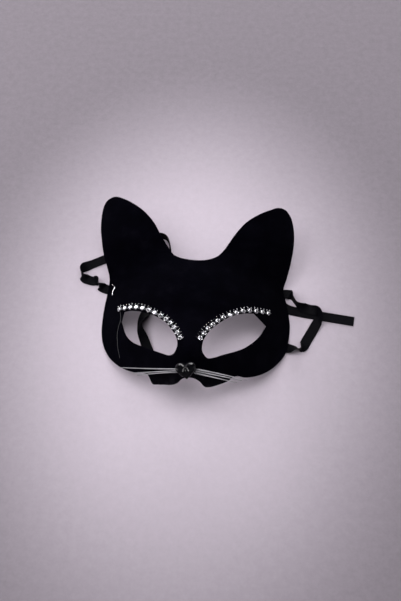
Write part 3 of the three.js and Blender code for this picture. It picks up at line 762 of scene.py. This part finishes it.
# Ribbons.
def ribbon_frames(route, step):
    """Centre, width direction and thickness direction along a ribbon."""
    half = RIBBON_WIDTH / 2

    def stand(bank):
        lean = math.radians(bank)
        return half * abs(math.sin(lean)) + RIBBON_THICK / 2 * abs(math.cos(lean))

    points = []
    for x, y, height, bank in route:
        if height > 0:
            points.append((x, y, height, bank))
        else:
            p = on_face(x, y, height - SHELL_THICK - RIBBON_THICK / 2)
            points.append((p.x, p.y, p.z - stand(bank), bank))
    run = smooth_run(points, step)
    run = [(x, y, max(low, RIBBON_LOWEST) + stand(bank), bank) for x, y, low, bank in run]
    frames = []
    for i, (x, y, z, bank) in enumerate(run):
        a, b = run[max(0, i - 1)], run[min(len(run) - 1, i + 1)]
        ahead = Vector((b[0] - a[0], b[1] - a[1], b[2] - a[2])).normalized()
        level = Vector((0, 0, 1)).cross(ahead).normalized()
        raised = ahead.cross(level)
        lean = math.radians(bank)
        wide = level * math.cos(lean) + raised * math.sin(lean)
        thin = raised * math.cos(lean) - level * math.sin(lean)
        frames.append((Vector((x, y, z)), wide, thin))
    return frames


def make_ribbon(side):
    """A thin woven band with two slightly thicker selvedges."""
    frames = ribbon_frames(RIBBON_ROUTES[side], RIBBON_STEP)
    section = []
    for k in range(RIBBON_COLUMNS + 1):
        u = -1 + 2 * k / RIBBON_COLUMNS
        section.append((u, 1.0 if abs(u) > SELVEDGE_FROM else WEAVE_THICK))
    rings = []
    for centre, wide, thin in frames:
        top = [centre + wide * (u * RIBBON_WIDTH / 2) + thin * (t * RIBBON_THICK / 2) for u, t in section]
        under = [centre + wide * (u * RIBBON_WIDTH / 2) - thin * (t * RIBBON_THICK / 2) for u, t in section]
        rings.append(top + under[::-1])
    shape = Shape()
    shape.loft(rings)
    piece = shape.build(f"ribbon_tie_{side}", [SATIN], f"ribbon_{side}", crease=50)


# Shell.
def are_inside(loop, points):
    """Whether each plan point lies inside the closed loop."""
    a, b = loop, np.roll(loop, -1, axis=0)
    y = points[:, 1, None]
    crosses = (a[None, :, 1] > y) != (b[None, :, 1] > y)
    rises = np.where(b[:, 1] == a[:, 1], 1e-9, b[:, 1] - a[:, 1])
    x_at = a[None, :, 0] + (y - a[None, :, 1]) * ((b[:, 0] - a[:, 0]) / rises)[None, :]
    return (crosses & (points[:, 0, None] < x_at)).sum(1) % 2 == 1


def gaps_to(loop, points):
    """Distance of each plan point to the closed loop."""
    a, d = loop[None], (np.roll(loop, -1, axis=0) - loop)[None]
    t = ((points[:, None] - a) * d).sum(2) / np.maximum((d * d).sum(2), 1e-9)
    foot = a + d * np.clip(t, 0, 1)[..., None]
    return np.sqrt(((points[:, None] - foot) ** 2).sum(2)).min(1)


def shell_plan():
    """Fine triangles over the shell's plan, with the eye holes left open."""
    rim = smooth_run(RIM, RIM_STEP) + [on_wall(p) for p in smooth_run(WALL_EDGE, WALL_EDGE_STEP)]
    eyes = [smooth_run(eye, EYE_STEP) for eye in (EYE_RIGHT, EYE_LEFT)]
    loops = [np.array(loop) for loop in (rim, *eyes)]

    def on_shell(points):
        return are_inside(loops[0], points) & ~are_inside(loops[1], points) & ~are_inside(loops[2], points)

    coords, edges = [], []
    for loop in loops:
        first, n = len(coords), len(loop)
        coords += [Vector(p) for p in loop]
        edges += [(first + i, first + (i + 1) % n) for i in range(n)]
    (left, right), (y, last) = PLAN_BOX["x"], PLAN_BOX["y"]
    row_pitch = 0.866 * PLAN_PITCH
    row = 0
    while y < last:
        xs = np.arange(left + (PLAN_PITCH / 2 if row % 2 else 0), right, PLAN_PITCH)
        points = np.stack([xs, np.full_like(xs, y)], 1)
        keep = on_shell(points)
        for loop in loops:
            keep &= gaps_to(loop, points) > EDGE_CLEAR
        coords += [Vector(p) for p in points[keep]]
        y += WALL_PITCH if y < WALL_PITCH_BELOW else row_pitch
        row += 1
    verts, _, triangles, _, _, _ = delaunay_2d_cdt(coords, edges, [], 0, 1e-6)
    plan = np.array([tuple(v) for v in verts])
    triangles = np.array(triangles)
    keep = on_shell(plan[triangles].mean(1))
    return plan, triangles[keep].tolist()


def border_of(triangles):
    """The directed edges that only one triangle has."""
    edges = {}
    for a, b, c in triangles:
        for start, end in ((a, b), (b, c), (c, a)):
            if (end, start) in edges:
                del edges[(end, start)]
            else:
                edges[(start, end)] = True
    return list(edges)


def unevenness(x, y, z):
    """How far the velvet strays from an even face: a slow sway, a fine one, and a crumpled front wall."""
    slow = SWAY_SLOW[0] * noise.noise(Vector((x, y, 0)) * SWAY_SLOW[1])
    fine = SWAY_FINE[0] * noise.noise(Vector((x, y, 7)) * SWAY_FINE[1])
    on_front = 1 - rise(CRUMPLE["whole"], CRUMPLE["begins"], y)
    crumple = noise.noise(Vector((0.3 * x + 0.16 * z, 0.22 * z - 0.1 * x, 3)))
    return slow + fine + CRUMPLE["height"] * on_front * crumple


def make_shell():
    """Velvet outside, lining inside, and a rounded edge round the rim and both eye holes."""
    plan, triangles = shell_plan()
    used = sorted({i for triangle in triangles for i in triangle})
    index = {v: k for k, v in enumerate(used)}
    triangles = [tuple(index[i] for i in triangle) for triangle in triangles]
    top, under, up = [], [], []
    for i in used:
        x, y = plan[i]
        out = normal_at(x, y)
        at = Vector((x, y, face(x, y)))
        up.append(out)
        top.append(at + out * unevenness(x, y, at.z))
        under.append(at - out * SHELL_THICK)
    n = len(top)
    shape = Shape()
    shape.add(top + under, triangles)
    shape.faces += [tuple(n + i for i in reversed(triangle)) for triangle in triangles]
    shape.slots += [1] * len(triangles)
    edges = border_of(triangles)
    after = dict(edges)
    before = {b: a for a, b in edges}
    steps = 4
    ring_start = {}
    for v in after:
        along = (top[after[v]] - top[before[v]]).normalized()
        out = along.cross(up[v]).normalized()
        ring_start[v] = len(shape.points)
        middle = (top[v] + under[v]) / 2
        half = (top[v] - under[v]) / 2
        for k in range(1, steps):
            turn = math.pi * k / steps
            shape.points.append(middle + out * EDGE_BULGE * math.sin(turn) + half * math.cos(turn))
    for a, b in edges:
        left = [a] + [ring_start[a] + k for k in range(steps - 1)] + [n + a]
        right = [b] + [ring_start[b] + k for k in range(steps - 1)] + [n + b]
        for k in range(steps):
            shape.faces.append((left[k], left[k + 1], right[k + 1], right[k]))
            shape.slots.append(0)
    shape.build("velvet_shell", [VELVET, LINING], "mask_shell")


# Nose.
def heart_outline(count):
    """The heart's outline, the same four curves as the part's own."""
    w, h = HEART_WIDTH / 2, HEART_HEIGHT
    curves = [
        ((0, -0.55 * h), (0.35 * w, -0.36 * h), (w, -0.12 * h), (w, 0.14 * h)),
        ((w, 0.14 * h), (w, 0.4 * h), (0.45 * w, 0.5 * h), (0, 0.3 * h)),
        ((0, 0.3 * h), (-0.45 * w, 0.5 * h), (-w, 0.4 * h), (-w, 0.14 * h)),
        ((-w, 0.14 * h), (-w, -0.12 * h), (-0.35 * w, -0.36 * h), (0, -0.55 * h)),
    ]
    points = []
    for a, b, c, d in curves:
        for i in range(count):
            t = i / count
            r = 1 - t
            shares = (r ** 3, 3 * r * r * t, 3 * r * t * t, t ** 3)
            points.append(tuple(sum(s * p[k] for s, p in zip(shares, (a, b, c, d))) for k in range(2)))
    return points


def nose_pose():
    """Right, up and out directions of the heart and the point that its body stands on."""
    slope, lean = math.radians(NOSE_AT["slope"]), math.radians(NOSE_AT["lean"])
    out = Vector((0, -math.sin(slope), math.cos(slope)))
    right = Matrix.Rotation(lean, 3, out) @ Vector((1, 0, 0))
    up = out.cross(right)
    centre = Vector((NOSE_AT["x"], NOSE_AT["y"], face(NOSE_AT["x"], NOSE_AT["y"])))
    clear = -math.inf
    shares = [-0.6 + 0.1 * i for i in range(13)]
    for u in shares:
        for v in shares:
            x = centre.x + right.x * u * HEART_WIDTH + up.x * v * HEART_HEIGHT
            y = centre.y + right.y * u * HEART_WIDTH + up.y * v * HEART_HEIGHT
            clear = max(clear, (on_face(x, y, GAP) - centre).dot(out))
    return right, up, out, centre + out * (clear + HEART_BEVEL)


def heart_height(u, v, gap):
    """Height of the heart's face at a place across and up, this far in from the outline."""
    shoulder = HEART_SHOULDER * HEART_BODY
    lobes = rise(-1, 3, v)
    slope = min(1.0, gap / (HEART_FLANK - lobes))
    flank = mix(shoulder, HEART_BODY + HEART_BEVEL - 0.1, slope ** 0.8)
    # The dome sinks toward the top of both lobes and toward the sides.
    fall = 0.045 * min(2.0, max(0.0, v)) ** 2 + 0.18 * max(0.0, v - 2)
    droop = (0.012 + 0.025 * rise(1, 4, v)) * u * u
    dome = (HEART_DOME - fall - droop) * rise(0, 1.6 - 1.2 * lobes, gap)
    groove = math.exp(-((u / HEART_CREASE["half_width"]) ** 2))
    crease = HEART_CREASE["depth"] * groove * rise(*HEART_CREASE["fade"], v) * rise(0, 3, gap)
    return flank + dome - crease


def make_nose():
    """Heart with a bevelled flank all round and a puffed face that a crease parts below the notch."""
    right, up, out, base = nose_pose()
    outline = np.array(heart_outline(count=24))

    def level(points, heights):
        return [base + right * p[0] + up * p[1] + out * h for p, h in zip(points, heights)]

    rings = []
    sides = ((0.9, -HEART_BEVEL - 0.25), (1.0, -HEART_BEVEL * 0.4), (1.0, HEART_SHOULDER * HEART_BODY))
    for share, height in sides:
        rings.append(level(outline * share, [height] * len(outline)))
    steps = 26
    middle = np.array([0.0, -0.2])
    for i in range(1, steps):
        inward = i / steps
        points = outline * (1 - inward) + middle * inward
        gaps = gaps_to(outline, points)
        rings.append(level(points, [heart_height(u, v, gap) for (u, v), gap in zip(points, gaps)]))
    shape = Shape()
    shape.loft(rings)
    shape.build("glossy_heart", [GLOSS], "nose_heart", crease=38)


# Whiskers.
def sweep(points, section, wide_of):
    """Rings of section(t), given as pairs across and above, carried along points; wide_of sets across."""
    rings = []
    last = len(points) - 1
    for i, p in enumerate(points):
        ahead = (points[min(last, i + 1)] - points[max(0, i - 1)]).normalized()
        wide = wide_of(ahead).normalized()
        thin = ahead.cross(wide)
        rings.append([p + wide * u + thin * v for u, v in section(i / last)])
    return rings


def level_across(ahead):
    return Vector((0, 0, 1)).cross(ahead)


def oval(half_wide, half_thin, count):
    turns = [2 * math.pi * k / count for k in range(count)]
    return [(half_wide * math.cos(t), half_thin * math.sin(t)) for t in turns]


def make_whiskers():
    """Pale tapered bristles, a little wider than they are thick."""
    for name, (root, middle, tip) in WHISKERS.items():
        radius = WHISKER_ROOT_RADIUS[name.split("_")[0]]
        start = on_face(root[0], root[1], GAP + radius)
        points = [Vector(p) for p in smooth_run([tuple(start), middle, tip], step=1.2)]

        def section(t):
            r = mix(radius, WHISKER_TIP_RADIUS, t)
            return oval(r, r * WHISKER_FLATNESS, 10)

        shape = Shape()
        shape.loft(sweep(points, section, level_across))
        shape.build(f"bristle_{name}", [BRISTLE], f"whisker_{name}")


# Stone trims.
def make_cup(shape, foot, out, ahead, side, upper):
    """One round cup with a faceted stone in it: two claws lie over the stone, two stand up beyond it."""

    def at(turn, radius, height):
        return foot + (ahead * math.cos(turn) + side * math.sin(turn)) * radius + out * height

    def ring(count, radius, height, shift):
        return [at(2 * math.pi * (k + shift) / count, radius, height) for k in range(count)]

    sides = 20
    shape.hoop([[at(2 * math.pi * k / sides, r, h) for r, h in CUP_WALL] for k in range(sides)])
    facets = 8
    points = [p for radius, height in STONE_RINGS for p in ring(facets, radius, height, 0.5)]
    points += ring(facets, *STONE_TOP, 0.0)
    faces = []
    for i in range(len(STONE_RINGS) - 1):
        for k in range(facets):
            a, b = i * facets + k, i * facets + (k + 1) % facets
            faces.append((a, b, b + facets, a + facets))
    girdle, table = 2 * facets, 3 * facets
    for k in range(facets):
        after = (k + 1) % facets
        faces.append((girdle + k, table + after, table + k))
        faces.append((girdle + k, girdle + after, table + after))
    faces.append(tuple(reversed(range(facets))))
    faces.append(tuple(range(table, table + facets)))
    shape.add(points, faces, 1)

    def claw_section(t):
        return oval(mix(CLAW["root"], CLAW["tip"], t), CLAW["thick"], 6)

    for hand in (-1, 1):
        for path in (FREE_CLAW, FOLDED_CLAW):
            run = [foot + ahead * (hand * a) + side * (upper * b) + out * h for a, b, h in path]
            shape.loft(sweep(run, claw_section, lambda _: ahead))


def make_trim(side_name):
    """A row of cups with stones in them, each linked to the next by two bars."""
    line = TRIMS[side_name]
    upper = 1 if side_name == "left" else -1
    run = smooth_run([tuple(on_face(x, y, 0)) for x, y in line], step=1)
    length = sum(math.dist(a, b) for a, b in zip(run, run[1:]))
    count = round(length / STONE_PITCH)

    def frame_on(t):
        at = t * (len(run) - 1)
        i = min(len(run) - 2, int(at))
        x, y = (mix(run[i][k], run[i + 1][k], at - i) for k in range(2))
        out = normal_at(x, y)
        ahead = Vector([run[i + 1][k] - run[i][k] for k in range(3)])
        ahead = (ahead - out * ahead.dot(out)).normalized()
        return on_face(x, y, TRIM_CLEAR), out, ahead, out.cross(ahead)

    shape = Shape()
    for i in range(count + 1):
        make_cup(shape, *frame_on(i / count), upper)
    steps = 6
    half, low, high = (LINK[key] for key in ("half", "low", "high"))
    corners = [(-half, low), (half, low), (half, high), (-half, high)]
    for i in range(count):
        for offset in (-LINK["offset"], LINK["offset"]):
            rings = []
            for k in range(steps + 1):
                foot, out, _, side = frame_on((i + mix(LINK["start"], LINK["end"], k / steps)) / count)
                rings.append([foot + side * (offset + u) + out * v for u, v in corners])
            shape.loft(rings, 2)
    looks = [SILVER, CRYSTAL, DULL_METAL]
    shape.build(f"stone_row_{side_name}", looks, f"trim_{side_name}", crease=25)


def make_glue_thread():
    """Fine string of glue that thins out toward its lower end."""
    points = [on_face(x, y, 0.18 + 0.08 * (i % 2)) for i, (x, y) in enumerate(GLUE_THREAD)]
    run = [Vector(p) for p in smooth_run([tuple(p) for p in points], step=1.0)]

    def section(t):
        return oval(*(mix(a, b, t) for a, b in zip(GLUE_START, GLUE_END)), 6)

    shape = Shape()
    shape.loft(sweep(run, section, level_across))
    shape.build("glue_thread", [GLUE], "trim_left")


# Staples.
def make_staple(side):
    """Flat wire staple. The outer one's crown is bent sideways, with one end hooked back."""
    x, y, outside = (STAPLES[side][key] for key in ("x", "y", "outside"))
    out = normal_at(x, y)
    across = Vector((0, 1, 0)).cross(out).normalized()
    along = out.cross(across)
    at = Vector((x, y, face(x, y)))
    r = STAPLE_WIRE / 2
    high = GAP + STAPLE_STANDOFF + r
    low = -(SHELL_THICK + GAP + RIBBON_THICK + 3 * GAP + r)
    reach = (STAPLE_CROWN - STAPLE_WIRE) / 2
    if outside:
        corners = [
            (-reach + STAPLE_CLINCH, low), (-reach, low), (-reach, high),
            (reach, high), (reach, low), (reach - STAPLE_CLINCH, low),
        ]
    else:
        corners = [(-reach, -STAPLE_BURIED), (-reach, low), (reach, low), (reach, -STAPLE_BURIED)]
    path = [corners[0]]
    for before, corner, after in zip(corners, corners[1:], corners[2:]):
        tip = Vector(corner)
        start = tip + (Vector(before) - tip).normalized() * STAPLE_BEND
        end = tip + (Vector(after) - tip).normalized() * STAPLE_BEND
        for k in range(5):
            t = k / 4
            path.append(tuple(start * (1 - t) ** 2 + tip * 2 * t * (1 - t) + end * t * t))
    path.append(corners[-1])

    def knock(a, b):
        hump = math.exp(-(((a - STAPLE_KNOCK["at"]) / STAPLE_KNOCK["half_width"]) ** 2))
        push = STAPLE_KNOCK["push"] * hump - STAPLE_KNOCK["tilt"] * a - STAPLE_KNOCK["shift"]
        return push * rise(0, high, b) if outside else 0.0

    points = [at + along * a + out * b + across * knock(a, b) for a, b in smooth_run(path, step=0.5)]
    shape = Shape()
    shape.loft(sweep(points, lambda _: oval(*STAPLE_SECTION, 10), lambda _: across))
    shape.build(f"wire_staple_{side}", [SILVER], f"staple_{side}")


set_camera()
set_stage()
SIDES = ("left", "right")
for side in SIDES:
    make_ribbon(side)
make_shell()
make_nose()
make_whiskers()
for side in SIDES:
    make_trim(side)
make_glue_thread()
for side in SIDES:
    make_staple(side)
